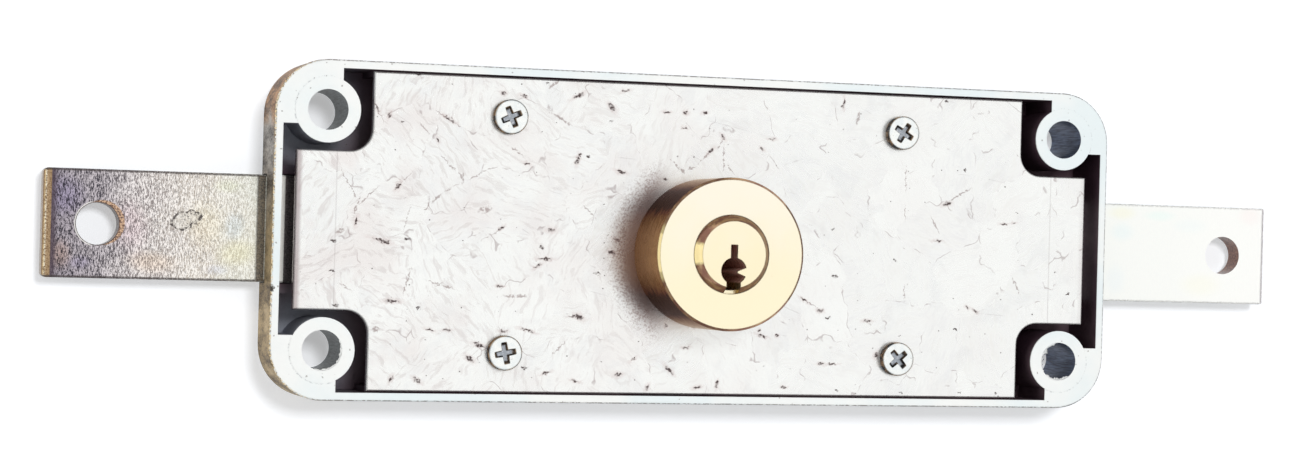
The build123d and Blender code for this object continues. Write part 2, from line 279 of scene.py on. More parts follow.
def new_group(name, output, **numbers):
    """A node group that is given a vector and some numbers, here with their defaults. Returns its
    tree, what it is given, and where its result goes."""
    tree = bpy.data.node_groups.new(name, "ShaderNodeTree")
    for label, default in {"Vector": (0, 0, 0), **numbers}.items():
        kind = "NodeSocketVector" if isinstance(default, tuple) else "NodeSocketFloat"
        socket = tree.interface.new_socket(name=label, in_out="INPUT", socket_type=kind)
        socket.default_value = default
    tree.interface.new_socket(name=output, in_out="OUTPUT", socket_type="NodeSocketFloat")
    given = tree.nodes.new("NodeGroupInput").outputs
    return tree, given, tree.nodes.new("NodeGroupOutput").inputs[output]


def use(group, vector, **numbers):
    """Places a node group in the tree that its vector comes from."""
    return add(tree_of(vector), "Group", {"Vector": vector, **numbers}, node_tree=group)


# %% [markdown]
# Flecks are small dark marks, one in some of the cells of a Voronoi pattern. The pattern is
# stretched, so the marks lie lengthwise, and the coordinates are shaken by noise first, so that
# no mark has a clean outline.

# %% Flecks
flecks, given, result = new_group("flecks", "Mask", Along=10, Across=4, Size=0.08, Share=0.5, Ragged=0.4)
place = shaken(given["Vector"], 1.6, 2, given["Ragged"])
spacing = add(flecks, "CombineXYZ", {"X": given["Along"], "Y": given["Across"], "Z": 1})
cells = voronoi(vectors("DIVIDE", place, spacing), 1)
random = add(flecks, "SeparateColor", {"Color": cells["Color"]}).outputs
size = times(given["Size"], plus(0.3, random["Green"]))
spot = fade(cells["Distance"], size, times(size, 0.45))
kept = maths("LESS_THAN", random["Red"], given["Share"])
connect(times(spot, kept), result)
print("group", flecks.name, len(flecks.nodes), "nodes")

# %% [markdown]
# Scratches are the borders between very long and narrow Voronoi cells. Noise hides most of each
# border, so short separate strokes are left.

# %% Scratches
scratches, given, result = new_group(
    "scratches", "Mask", Turn=0.3, Long=60, Apart=6, Width=0.02, Share=0.45)
turned = add(scratches, "VectorRotate", {"Vector": given["Vector"], "Angle": given["Turn"]},
             rotation_type="Z_AXIS")
spacing = add(scratches, "CombineXYZ", {"X": given["Long"], "Y": given["Apart"], "Z": 1})
cells = voronoi(vectors("DIVIDE", turned, spacing), 1, feature="DISTANCE_TO_EDGE")
line = fade(cells["Distance"], given["Width"], 0)
shown = fade(noise(given["Vector"], 0.22, 2), minus(1, given["Share"]), 0.7)
connect(times(line, shown), result)
print("group", scratches.name, len(scratches.nodes), "nodes")

# %% [markdown]
# Turning marks are the fine rings that a lathe leaves. A noise read along one line, the distance
# from the axis plus the height, gives rings on a face and hoops on a round side alike. The vector
# that goes in is centred on the turned piece.

# %% Turning marks
turning, given, result = new_group("turning_marks", "Height", Fineness=5)
along = plus(level_length(given["Vector"]), parts_of(given["Vector"])["Z"])
rings = add(turning, "TexNoise", {"W": times(along, given["Fineness"]), "Scale": 1, "Detail": 4,
                                  "Roughness": 0.6}, noise_dimensions="1D")
connect(rings.outputs["Fac"], result)

# %% [markdown]
# A worn edge is found by comparing the surface's own direction with the one that a Bevel node
# gives, which turns near an edge. Where the two differ, the mask is 1, broken up by noise.

# %% Worn edges
worn, given, result = new_group("worn_edges", "Mask", Radius=0.0003, Ragged=0.5)
rounded = add(worn, "Bevel", {"Radius": given["Radius"]}, samples=4)
normal = add(worn, "NewGeometry").outputs["Normal"]
edge = fade(vectors("DOT_PRODUCT", rounded, normal), 0.995, 0.86)
rub = fade(noise(given["Vector"], 0.9, 4, 0.6), times(given["Ragged"], 0.9), 0.3)
connect(times(edge, rub), result)
print("groups", turning.name, worn.name)

# %% [markdown]
# ## Starting a metal
# Every finish is a metal on the Principled shader. One helper makes the material and gives back
# its tree, the shader and the surface's own coordinates in millimetres, in which all patterns are
# laid out. Another links the colour, roughness and relief.

# %% Start a metal
WHITE = (1, 1, 1)


def new_metal(name, metallic, roughness):
    """A material with one Principled shader. Returns material, tree, shader and coordinates in mm."""
    material = bpy.data.materials.new(name)
    material.use_nodes = True
    tree = material.node_tree
    shader = tree.nodes["Principled BSDF"]
    shader.inputs["Metallic"].default_value = metallic
    shader.inputs["Roughness"].default_value = roughness
    own = add(tree, "TexCoord").outputs["Object"]
    return material, tree, shader, vectors("SCALE", own, 1 / MM)


def finish(shader, colour, roughness, height, depth_mm, **others):
    """Links a colour, a roughness and a relief: a height of 0 to 1 times a depth in mm."""
    relief = add(shader.id_data, "Bump", {"Height": height, "Strength": 1, "Distance": depth_mm * MM})
    inputs = {"Base Color": colour, "Roughness": roughness, "Normal": relief, **others}
    for name, value in inputs.items():
        connect(value, shader.inputs[name.replace("_", " ")])


def dress(material, *names):
    """Gives a material to CAD pieces."""
    for name in names:
        mesh = nodes[name].data
        mesh.materials.clear()
        mesh.materials.append(material)
        mesh.polygons.foreach_set("material_index", np.zeros(len(mesh.polygons), np.int32))
    print(material.name, "on", len(names), "pieces")


# %% [markdown]
# ## The cast case
# The case is a zinc casting with a thin plated coat. Its rim is bright with a cold tint, the
# outer walls have turned olive and brown, the inside is dull and painted dark as shade, with a
# pale painted pool of light near the two left holes, and the bores of the four fixing holes are
# blue grey. The rim's outer edge takes gold dots at the left end, partly a painted highlight, and a
# faint painted dark line elsewhere. Each region is a mask worked out from the distance to the
# rounded rectangle of the wall, to the nearest hole, and from the height.

# %% Regions of the case
HOLE_EDGE = 3.85
rim = case_high[2]
case_metal, tree, shader, mm = new_metal("cast_zinc", 0.55, 0.42)
x, y, z = parts_of(mm)
quarter = vectors("ABSOLUTE", mm)
straight = (case_high[0] - CASE_CORNER, case_high[1] - CASE_CORNER, 1000)
past = vectors("MAXIMUM", vectors("SUBTRACT", quarter, straight), (0, 0, 0))
inset = minus(CASE_CORNER, length_of(past))
side = fade(unsigned(facing_of(tree)["Z"]), 0.8, 0.3)
outside = times(fade(inset, 0.7, 0.35), side)
level_mm = vectors("MULTIPLY", quarter, (1, 1, 0))
from_hole = vectors("DISTANCE", level_mm, (*FIXING_HOLE, 0))
in_hole = times(fade(from_hole, HOLE_EDGE, 3.6), side)
cavity = times(fade(z, rim - 0.12, rim - 0.4), fade(inset, CASE_WALL - 0.25, CASE_WALL - 0.05),
               fade(from_hole, HOLE_EDGE, 4.1))
print("case regions: outer wall, cavity, holes")

# %% Colours of the case
cloud = noise(mm, 0.06, 4)
patina = noise(vectors("MULTIPLY", mm, (1, 1, 0.35)), 0.35, 5, 0.6)
sand = noise(mm, 2.6, 4, 0.7)
worn_off = fade(plus(times(patina, 0.45), times(sand, 0.55)), 0.4, 0.6)
olive = mix(worn_off, (0.115, 0.08, 0.045), (0.62, 0.49, 0.3))
grey = mix(worn_off, (0.075, 0.062, 0.052), (0.54, 0.51, 0.47))
brown = mix(worn_off, (0.085, 0.045, 0.025), (0.6, 0.38, 0.22))
clean = mix(worn_off, (0.4, 0.39, 0.37), (0.58, 0.58, 0.56))
upper = plus(y, times(minus(cloud, 0.5), 30))
rightward = plus(x, times(minus(plus(cloud, patina), 1), 26))
wall_colour = coats(olive, (fade(upper, -8, 16), grey), (fade(upper, 17, 22), brown),
                    (fade(rightward, -71, -52), clean))
drawn = fade(stretched(mm, (4, 4, 0.3)), 0.35, 0.7)
hole_colour = mix(fade(x, 10, -10), mix(drawn, (0.04, 0.055, 0.105), (0.15, 0.195, 0.3)),
                  mix(drawn, (0.04, 0.052, 0.055), (0.135, 0.165, 0.18)))
# A pale patch near the two left holes is a painted pool of light on the painted dark inside.
light_pool = times(fade(from_hole, 13, 5.5), fade(x, -55, -70), 0.75)
# The inside is painted dark as shade, and it is dull.
inside = mix(fade(cloud, 0.4, 0.6), (0.085, 0.045, 0.065), (0.17, 0.115, 0.135))
inside = mix(light_pool, inside, (0.5, 0.55, 0.62))
rim_colour = mix(fade(cloud, 0.35, 0.65), (0.83, 0.9, 0.91), (0.93, 0.94, 0.92))
specks = use(flecks, mm, Along=2.6, Across=2.2, Size=0.07, Share=0.35, Ragged=0.5)
rubbed = use(worn, mm, Radius=0.00035, Ragged=0.55)
# lip is the rim's outer edge. At the left end it takes gold dots, partly a painted highlight of the rounded
# edge, and elsewhere a faint painted dark edge line.
lip = times(fade(inset, 0.42, 0.12), fade(z, rim - 1, rim - 0.5), fade(sand, 0.44, 0.52))
gold_lip = fade(x, 10 - case_high[0], 2 - case_high[0])
lip_colour = mix(fade(noise(mm, 3.4, 2), 0.44, 0.52), (0.13, 0.075, 0.025), (0.86, 0.66, 0.34))
faint_lip = fade(times(minus(0.55, gold_lip), fade(inset, 0.3, 0.14)), 0, 0.5)
cast_ring = times(fade(unsigned(minus(from_hole, 5.6)), 0.16, 0.05), fade(sand, 0.5, 0.6))
chip = vectors("DISTANCE", mm, (-75.7, -9.9, rim - 0.3))
chip = fade(plus(chip, noise(mm, 2, 2)), 1.15, 0.85)
colour = coats(rim_colour, (outside, wall_colour), (cavity, inside), (in_hole, hole_colour),
               (specks, 0.55, (0.2, 0.17, 0.14)), (rubbed, minus(0.75, cavity), (0.84, 0.85, 0.83)),
               (lip, gold_lip, 0.9, lip_colour), (lip, faint_lip, 0.75, (0.13, 0.11, 0.1)),
               (cast_ring, minus(0.5, cavity), (0.36, 0.38, 0.4)), (chip, (0.07, 0.06, 0.05)))
cast = noise(mm, 1.8, 5, 0.65)
rough = plus(times(cast, 0.3), times(cavity, 0.25), 0.22)
finish(shader, colour, rough, minus(cast, times(specks, 1.2)), 0.02,
       Specular_Tint=mix(outside, WHITE, wall_colour))
dress(case_metal, "case")

# %% [markdown]
# ## The galvanised cover
# Hot zinc freezes on steel sheet in large flat crystals, called spangle. On this worn sheet they
# show only faintly: each crystal has fine curved feathers that lie its own way, and here and
# there its border is left as a thin broken line. One Voronoi cell stands for one crystal, and its
# random colour turns the feathers. The feathers are stretched noise, cut off so that only the
# ridges are left as strokes, and they are stronger at the left end of the sheet.

# %% Spangle
CRYSTALS_PER_MM = 0.1
cover_metal, tree, shader, mm = new_metal("galvanised_sheet", 0.8, 0.32)
x = parts_of(mm)["X"]
crystal_mm = shaken(mm, 0.13, 3, 14)
bent_mm = shaken(mm, 0.13, 3, 14 * 0.35)
crystals = voronoi(crystal_mm, CRYSTALS_PER_MM)
borders = voronoi(crystal_mm, CRYSTALS_PER_MM, feature="DISTANCE_TO_EDGE")
each = add(tree, "SeparateColor", {"Color": crystals["Color"]}).outputs
feather_mm = add(tree, "VectorRotate", {"Vector": bent_mm, "Angle": times(each["Red"], math.tau)},
                 rotation_type="Z_AXIS")
feather = stretched(feather_mm, (0.2, 1.25, 1), 4, 0.62)
strokes = fade(feather, 0.5, 0.64)
border = times(fade(borders["Distance"], 0.02, 0.002), fade(noise(mm, 0.33, 4), 0.5, 0.62))
# leftward is 0.25 on the right and 1 at the left end. The feathers, warm tint and dull end that it weights
# make the left end darker, partly as painted shade where the sheet mirrors less light.
leftward = ramp(x, 20, -65, 0.25, 1)
print("spangle: crystals about 10 mm across")

# %% [markdown]
# The larger marks on the sheet are put where the photo shows them. Each is read off the photo as
# a column and a row in pixels, a length, a lie in degrees and a thickness. All marks are
# ellipses. A point is turned, moved and squeezed so that the ellipse becomes a circle of radius 1,
# and its length then says how far it is from the mark. Marks that lie alike share the turned point.

# %% Marks as ellipses
LIE_STEP = 15


def turned_by(vector, lie):
    """The vector's parts along and beside a direction, given in degrees."""
    cos, sin = math.cos(math.radians(lie)), math.sin(math.radians(lie))
    along = vectors("DOT_PRODUCT", vector, (cos, sin, 0))
    aside = vectors("DOT_PRODUCT", vector, (-sin, cos, 0))
    return add(tree_of(vector), "CombineXYZ", {"X": along, "Y": aside})


def from_mark(turned, lie, height, column, row, length, thickness):
    """1 on the outline of an ellipse, less inside it."""
    cos, sin = math.cos(math.radians(lie)), math.sin(math.radians(lie))
    x, y = on_plane(column, row, height)
    pixel = (camera_place.z / MM - height) / FOCAL_PIXELS
    squeeze = 2 / (length * pixel), 2 / (thickness * pixel)
    move = -(x * cos + y * sin) * squeeze[0], -(y * cos - x * sin) * squeeze[1]
    return length_of(vectors("MULTIPLY_ADD", turned, (*squeeze, 0), (*move, 0)))


def nearest_mark(vector, height, marks):
    """The distance from the nearest of many marks. Their lies are rounded to whole steps."""
    nearest = 9
    for lie in range(-90, 90, LIE_STEP):
        turned = turned_by(vector, lie)
        for column, row, length, mark_lie, thickness in marks:
            if (round(mark_lie / LIE_STEP) * LIE_STEP + 90) % 180 - 90 == lie:
                nearest = smaller(nearest, from_mark(turned, lie, height, column, row, length, thickness))
    return nearest


dark_marks = [
    (450, 119.5, 12, -28, 3), (438, 140, 6, -60, 3), (389.5, 115, 7, 80, 2), (377, 107, 9, -55, 2),
    (398, 186, 9, 55, 3.2), (356, 221, 9, 75, 3), (381, 240.5, 18, -12, 2.6), (387, 242, 6, -15, 4),
    (501, 228, 7, 30, 2.4), (392, 301, 14, -6, 3.4), (430, 330, 9, -8, 2.4), (447, 330, 8, 0, 2.4),
    (479, 345, 13, -18, 3.4), (470, 359, 10, -25, 4.2), (503, 331, 8, 0, 2.2), (527.5, 330.5, 15, -10, 2),
    (579, 317, 9, -25, 4.5), (573, 316, 9, 10, 1.6), (575, 381, 9, -8, 2.2), (617.5, 374.5, 8, 0, 4.2),
    (551, 230, 8, 0, 4.2), (545, 259, 14, 0, 2.4), (538, 266, 9, 30, 2.2), (500, 286, 8, -5, 2),
    (527, 164, 6, -20, 2.6), (577.5, 160, 9, 80, 3.4), (580, 155, 3, 0, 3), (621, 172, 11, -12, 3.2),
    (612, 107, 10, -50, 4.4), (578, 96, 13, 28, 2.8), (626, 91, 8, 15, 2.4), (524, 96, 7, -20, 2.8),
    (504, 93, 5, 0, 3.4), (612, 252.5, 8, -20, 3.4), (617, 240, 9, -8, 2.2), (633, 359, 7, 30, 2),
    (417, 380, 9, -30, 3.6), (391, 379, 8, 60, 3), (546, 373, 10, 10, 2.2), (667, 112, 7, -5, 2.4),
    (686, 112.5, 5, 0, 3.4), (705, 113, 6, 0, 2.4), (685, 128, 5, -10, 2.4), (711, 151, 9, 40, 3.2),
    (723, 137, 7, -50, 3.2), (762, 149, 5, -30, 2.8), (772, 139, 7, 0, 2), (844, 103, 11, 85, 1.8),
    (947, 204, 9, 10, 3.6), (937.5, 241, 10, 0, 2), (1004, 224, 8, 0, 1.6), (1014, 223, 5, 0, 1.8),
    (804, 300, 9, -35, 2.4), (820, 311, 7, -10, 3.4), (867.5, 321, 9, 0, 2.6), (821, 364, 7, 0, 2.8),
    (832, 364, 10, 0, 2), (762, 336, 11, -8, 2.2), (759, 331, 3, 0, 2.8), (777, 336, 3, 0, 2.6),
    (686, 347.5, 8, 0, 2.2), (666, 326, 3, 0, 3), (694, 327, 3, 0, 3), (669, 370, 12, -40, 3),
    (697, 387.5, 8, 20, 3), (717, 384, 8, 70, 2.2), (647, 387.5, 6, 60, 3.6), (784, 387, 6, 0, 2.4),
    (876, 355, 6, 70, 4), (967, 307, 5, -30, 2.6), (975, 311, 6, -30, 2.6)]
thin_strokes = [
    (449, 119, 38, -28, 1.2), (427, 131, 22, -38, 1.4), (376, 106, 24, -55, 1), (406, 178, 18, 50, 1.2),
    (357, 205, 28, 80, 1.4), (349, 184, 38, -66, 1.4), (368, 196, 30, 42, 1.6), (427, 207, 12, 55, 1.5),
    (437, 198, 14, 40, 2.2), (451, 188, 18, 32, 1.8), (463, 178, 12, 85, 1.6), (475, 176, 16, 35, 1.6),
    (490, 169, 18, 20, 1.4), (448, 163, 24, -42, 1.5), (461, 175, 12, -60, 1.3), (493, 234, 32, 36, 1),
    (407, 282, 32, 74, 1.4), (441, 285, 34, -14, 1.4), (345, 287, 16, -30, 1.4), (407, 218, 26, 80, 1.4),
    (674, 163, 20, -40, 1.6), (683, 171, 6, -60, 2.6), (692, 168, 10, 15, 2.2), (704, 158, 18, 42, 1.4),
    (721, 143, 16, 60, 1.4), (724, 158, 30, 88, 1.2), (731, 170, 16, -50, 1.2), (960, 195, 28, 35, 1.8),
    (813, 305, 28, -35, 1.4), (1016, 286, 24, -65, 1.8), (935, 225, 20, -60, 1.4), (858, 118, 14, 75, 3),
    (516, 296, 26, 4, 3.6), (554, 84, 14, 50, 3), (906, 178, 28, 90, 1), (905, 212, 18, 90, 1),
    (904, 292, 16, 90, 1.2), (560, 118, 30, -35, 2.4), (515, 150, 20, -30, 1.6), (376, 329, 7, 0, 6),
    (340, 231, 9, 10, 4), (485, 210, 16, 8, 6), (560, 347, 28, 50, 1.2), (590, 212, 20, -50, 1.4)]
ragged_mm = shaken(mm, 1.7, 3, 1.1)
near_dark = nearest_mark(ragged_mm, cover_top, dark_marks)
near_thin = nearest_mark(ragged_mm, cover_top, thin_strokes)
print("marks on the cover:", len(dark_marks), "dark and", len(thin_strokes), "thin")

# %% [markdown]
# Smaller marks are left to chance: the flecks group gives short ones and pits, and the scratches
# group gives long faint lines. Each dark mark has a weak pink halo, where the zinc has begun to
# rust through. A painted brown shadow lies at the cylinder's left foot. The ends of the sheet are
# duller, with a faint line across each where the sheet was bent straight.

# %% Marks and colours of the cover
CREASE = 65.1
smudge = fade(noise(bent_mm, 0.22, 5, 0.62), 0.5, 0.66)
warm = times(fade(noise(mm, 0.09, 5, 0.6), 0.42, 0.66), leftward)
flecked = use(flecks, mm, Along=11, Across=5.6, Size=0.055, Share=0.4, Ragged=1.3)
pits = use(flecks, mm, Along=3.1, Across=2.9, Size=0.05, Share=0.2, Ragged=0.3)
lines = use(scratches, mm, Turn=0.25, Long=46, Apart=7, Width=0.01, Share=0.42)
thin = times(fade(near_thin, 1.3, 0.6), fade(noise(mm, 2.2), 0.36, 0.52))
grit = fade(noise(mm, 3.2), 0.36, 0.56)
dark = larger(fade(near_dark, 1.25, 0.6), flecked, times(pits, 0.8))
dark = times(dark, plus(times(grit, 0.65), 0.3))
from_axis = vectors("SUBTRACT", mm, (*cylinder_axis, 0))
foot = plus(level_length(from_axis), times(minus(grit, 0.5), 1.6))
# A painted shadow, brown, at the left foot of the cylinder.
cylinder_shadow = times(fade(foot, 18.8, 14.2), fade(parts_of(from_axis)["X"], -6, -11))
from_middle = unsigned(x)
dull_end = times(fade(from_middle, cover_high[0] - 1.3, cover_high[0] - 0.5), leftward)
crease = fade(unsigned(minus(from_middle, CREASE)), 0.16, 0.04)
rubbed = use(worn, mm, Radius=0.0003, Ragged=0.3)
colour = colour_steps(plus(times(each["Green"], 0.16), times(feather, 0.84)),
                      [(0.2, (0.82, 0.82, 0.82)), (0.5, (0.9, 0.91, 0.89)), (0.8, (0.95, 0.96, 0.94))])
colour = coats(colour, (smudge, 0.45, (0.8, 0.81, 0.81)), (warm, 0.5, (0.78, 0.71, 0.69)),
               (strokes, leftward, 0.42, (0.55, 0.49, 0.48)), (border, 0.55, (0.34, 0.27, 0.27)),
               (fade(near_dark, 2.6, 1), 0.35, (0.62, 0.5, 0.48)),
               (thin, 0.62, (0.26, 0.18, 0.17)), (dark, (0.075, 0.045, 0.045)),
               (lines, 0.35, (0.42, 0.38, 0.38)), (cylinder_shadow, 0.8, (0.22, 0.125, 0.11)),
               (dull_end, 0.75, (0.42, 0.35, 0.35)), (crease, 0.28, (0.4, 0.36, 0.36)),
               (rubbed, 0.5, (0.5, 0.47, 0.47)))
shine = plus(times(each["Blue"], 0.05), times(feather, 0.14), times(dark, 0.3), 0.17)
finish(shader, colour, shine, feather, 0.004)
dress(cover_metal, "cover_plate")

# %% [markdown]
# ## The flat bars
# The bars are plated steel, ground across. Every grinding streak is a pair of tones, a pale one
# on its ridge and a dark one in its groove, and both change along the lock: violet grey and
# strongly marked at the left end, nearly white and quiet at the right. The violet is the coat's
# own tint, and the darkening towards the left end is a painted dark reflection. The streaks are
# noise that is squeezed along X, so each is about 0.14 mm wide and 0.7 mm long.

# %% The bars' streaks
bar_metal, tree, shader, mm = new_metal("plated_bar", 0.38, 0.3)
x, y, _ = parts_of(mm)
grain = noise(mm, 3.4, 4, 0.7)
along = plus(x, times(minus(noise(mm, 0.16), 0.5), 9))
share = ramp(along, -114, 114)
# These colour steps darken the left end, a painted dark reflection over the coat's violet tint.
ridge = colour_steps(share, [
    (0, (0.33, 0.285, 0.345)), (0.045, (0.6, 0.55, 0.58)), (0.075, (0.92, 0.87, 0.85)),
    (0.12, (0.98, 0.94, 0.88)), (0.17, (0.96, 0.98, 0.9)), (0.8, (0.96, 0.98, 0.94)),
    (1, (0.98, 0.98, 0.95))])
groove = colour_steps(share, [
    (0, (0.012, 0.009, 0.018)), (0.045, (0.042, 0.036, 0.052)), (0.075, (0.3, 0.26, 0.26)),
    (0.12, (0.57, 0.51, 0.44)), (0.17, (0.76, 0.76, 0.67)), (0.8, (0.945, 0.965, 0.935)),
    (1, (0.965, 0.965, 0.935))])
marked = ramp(x, -90, 60, 1, 0)
streaks = fade(plus(times(stretched(mm, (7.2, 1.4, 1), 4, 0.66), 0.75), times(grain, 0.25)), 0.455, 0.505)
# Dark patches that grow towards the left end, part of the painted dark reflection there.
left_dark_patches = times(fade(stretched(mm, (6, 2.4, 1), 3, 0.7), 0.53, 0.6), fade(along, -62, -104))
colour = coats(groove, (streaks, ridge), (left_dark_patches, 0.74, (0.022, 0.016, 0.026)))
print("bars: coat from violet grey at the left end to near white at the right")

# %% [markdown]
# The thin passivated coat shows faint colours, pink, yellow and blue, like oil on water. Each
# patch is a soft ellipse, placed from the photo, and it tints what is under it.

# %% Tints of the coat
tints = [
    (63, 195, 50, 0, 46, (0.74, 0.7, 1), 0.6), (58, 254, 30, 0, 36, (1, 0.72, 0.5), 0.55),
    (80, 262, 26, 0, 16, (0.75, 0.72, 1), 0.45), (128, 225, 60, -80, 46, (1, 0.84, 0.9), 0.55),
    (150, 262, 60, -5, 26, (1, 0.83, 0.66), 0.5), (205, 226, 46, 0, 60, (1, 0.95, 0.78), 0.5),
    (236, 253, 48, 10, 32, (1, 0.98, 0.74), 0.6), (234, 226, 34, 80, 24, (0.82, 0.9, 1), 0.6),
    (228, 186, 34, 0, 16, (0.94, 1, 0.84), 0.5), (216, 270, 26, 0, 12, (0.8, 0.84, 1), 0.5),
    (1122, 213, 40, 0, 18, (1, 0.98, 0.84), 0.6), (1122, 232, 34, 0, 24, (0.9, 0.97, 1), 0.6),
    (1160, 216, 44, 0, 14, (0.9, 1, 0.99), 0.6), (1250, 216, 34, 0, 26, (1, 0.93, 0.94), 0.6),
    (1200, 285, 60, 0, 30, (1, 0.99, 0.9), 0.6), (1190, 226, 50, 0, 20, (0.93, 0.98, 1), 0.5),
    (1115, 280, 30, 0, 40, (0.9, 0.95, 1), 0.4)]
for column, row, length, lie, thickness, tint, strength in tints:
    patch = from_mark(turned_by(mm, lie), lie, bar_top, column, row, length, thickness)
    colour = mix(times(fade(patch, 1.15, 0.25), strength), colour, tint, blend_type="MULTIPLY")
print("tints on the bars:", len(tints))

# %% [markdown]
# The outer end of each bar is rounded. On the left bar its colour goes by the way the end faces,
# gold and brown bands with a cream band between, a painted reflection, and a painted dark shade
# line lies just inside it. The right bar's end is plain pale. The long edges are broken and dark,
# and the bore is orange brown. On the left bar a painted shadow of the case wall lies where the
# window holds it at rest, a painted pool of light just inside the wall, and a painted shadow of
# the cover's edge beyond that. All three are measured in the bar's own coordinates, so they move
# with the bar.

# %% Ends, edges and the soiled band
ROD_HOLE_INSET = 8.9
facing = facing_of(tree)
from_middle, beside_middle = unsigned(x), unsigned(y)
endways = unsigned(facing["X"])
level = fade(facing["Z"], 0.8, 0.95)
speckle = fade(grain, 0.42, 0.58)
left_end = fade(x, 0, -1)
end_place = fade(from_middle, 109.5, 111.1)
# The end's colour goes by the way it faces: a painted reflection with a cream highlight band, used on the
# left bar.
end_colour = colour_steps(endways, [
    (0, (0.4, 0.27, 0.15)), (0.28, (0.62, 0.45, 0.27)), (0.46, (0.98, 0.92, 0.76)),
    (0.62, (0.8, 0.62, 0.34)), (0.76, (0.34, 0.22, 0.1)), (0.98, (0.22, 0.14, 0.07))])
end_colour = mix(fade(grain, 0.56, 0.4), end_colour, (0.22, 0.13, 0.06))
end_colour = mix(left_end, (0.88, 0.85, 0.86), end_colour)
on_end = times(fade(endways, 0.08, 0.16), end_place)
on_end = larger(on_end, times(fade(from_middle, 110.95, 111.1), left_end))
# A painted dark shade line just inside the left bar's end.
end_shade_line = times(fade(from_middle, 109.7, 110.8), left_end)
bore = times(fade(unsigned(facing["Z"]), 0.6, 0.3), minus(1, end_place))
side_colour = mix(left_end, mix(speckle, (0.36, 0.36, 0.36), (0.64, 0.64, 0.61)),
                  mix(speckle, (0.17, 0.12, 0.1), (0.42, 0.34, 0.28)))
bore_colour = mix(fade(beside_middle, 8.2, 7.8), side_colour,
                  mix(speckle, (0.095, 0.042, 0.036), (0.32, 0.155, 0.1)))
from_bore = vectors("SUBTRACT", mm, (box_mm("left_bar")[0][0] + ROD_HOLE_INSET, 0, 0))
bore_edge = level_length(from_bore)
crescent = plus(level_length(vectors("SUBTRACT", from_bore, (0.75, 0.2, 0))), times(grain, 0.5))
drawn_in = mix(fade(grain, 0.44, 0.54), (0.12, 0.055, 0.035), (0.7, 0.45, 0.27))
pale_edge = times(fade(bore_edge, 3.84, 3.74), fade(x, -103.9, -105))
dark_edge = times(fade(bore_edge, 3.66, 3.6), fade(grain, 0.36, 0.46))
long_edge = times(fade(unsigned(facing["Y"]), 0.3, 0.6), fade(beside_middle, 8.5, 8.7))
rim_line = times(fade(beside_middle, 8.5, 8.72), plus(times(left_end, 0.3), 0.7))
long_edge = larger(long_edge, larger(rim_line, fade(larger(x, 0), 111.55, 111.75)))
edge_strength = plus(times(left_end, 0.55), times(fade(grain, 0.42, 0.56), 0.4))
beyond = minus(from_middle, case_high[0])
# A painted shadow of the case wall on the left bar, just outside the wall at rest.
wall_shadow = times(fade(beyond, 1.75, 1.25), fade(beyond, 0.02, 0.16), left_end, level)
wall_shadow_colour = mix(fade(beyond, 1.15, 1.45), (0.16, 0.115, 0.065), (0.018, 0.012, 0.014))
wall_shadow_colour = mix(fade(grain, 0.4, 0.6), (0.04, 0.028, 0.018), wall_shadow_colour)
# A painted pool of light on the bar just inside the wall, with less metal shine.
lit_strip = times(fade(beyond, -1, -1.5), fade(beyond, -3.25, -3.15), left_end)
# A painted shadow of the cover's edge on the bar, beyond the lit strip.
cover_edge_shadow = times(fade(beyond, -3.15, -3.25), fade(beyond, -7, -5), left_end, level)
cover_edge_shadow_colour = mix(speckle, (0.02, 0.01, 0.014), (0.075, 0.045, 0.05))
colour = coats(colour, (end_shade_line, 0.85, (0.07, 0.045, 0.065)), (on_end, end_colour),
               (bore, bore_colour), (fade(crescent, 4.02, 3.88), minus(0.9, bore), drawn_in),
               (pale_edge, 0.8, (0.94, 0.92, 0.88)), (dark_edge, 0.85, (0.05, 0.032, 0.034)),
               (long_edge, edge_strength, (0.05, 0.036, 0.034)), (wall_shadow, 0.88, wall_shadow_colour),
               (lit_strip, 0.9, (1, 0.99, 0.93)), (cover_edge_shadow, 0.92, cover_edge_shadow_colour))
metallic = times(minus(1, larger(lit_strip, cover_edge_shadow)), 0.38)
print("bars: gold end, brown bore, dark edges, soiled band")

# %% [markdown]
# The left bar carries a small punched mark near its middle. On this lock it is left as a plain
# worn dent: two joined ellipses with a ragged border, dark at the border and paler inside.

# %% The dent on the left bar
shaken_mm = turned_by(shaken(mm, 1.3, 3, 1.5), 0)
dent = smaller(from_mark(shaken_mm, 0, bar_top, 181.5, 221.5, 21, 19),
               from_mark(shaken_mm, 0, bar_top, 192, 217, 19, 13))
hollow = fade(dent, 1.1, 1)
ring = times(hollow, fade(dent, 0.66, 0.84), fade(noise(mm, 2.2), 0.38, 0.54))
pits = times(hollow, fade(noise(mm, 3.4, 3, 0.7), 0.545, 0.6))
ring = larger(ring, times(pits, 0.85))
colour = coats(colour, (hollow, 0.45, (0.86, 0.82, 0.74)), (ring, 0.95, (0.055, 0.042, 0.04)))
rough = plus(times(minus(grain, 0.5), times(marked, 0.16)), times(on_end, -0.06), 0.28)
finish(shader, colour, rough, minus(times(streaks, marked), times(hollow, 1.2)), 0.01, Metallic=metallic)
dress(bar_metal, "left_bar", "right_bar")

# %% [markdown]
# ## Brass
# The cylinder and its plug are turned brass. The faces are clean and pale, a little more golden
# towards the lower right, with rings from the lathe. The sides are brown, partly tarnish and partly
# a painted reflection: their colour goes by how far they face along X, on the cylinder gold brown
# towards the ends of the lock, dark between and pale towards its long sides. A thin dark line of
# old polish sits on every edge. A metal mirrors almost everything when it is seen at a glancing
# angle, so the sides' colour is also given as the tint of that glancing reflection. The bevels are
# brown, with a painted bright highlight on a short piece that faces left. All turned pieces share
# one recipe.

# %% Brass recipe
BRASS_METALLIC = 0.85
plug_top = box_mm("plug")[1][2]


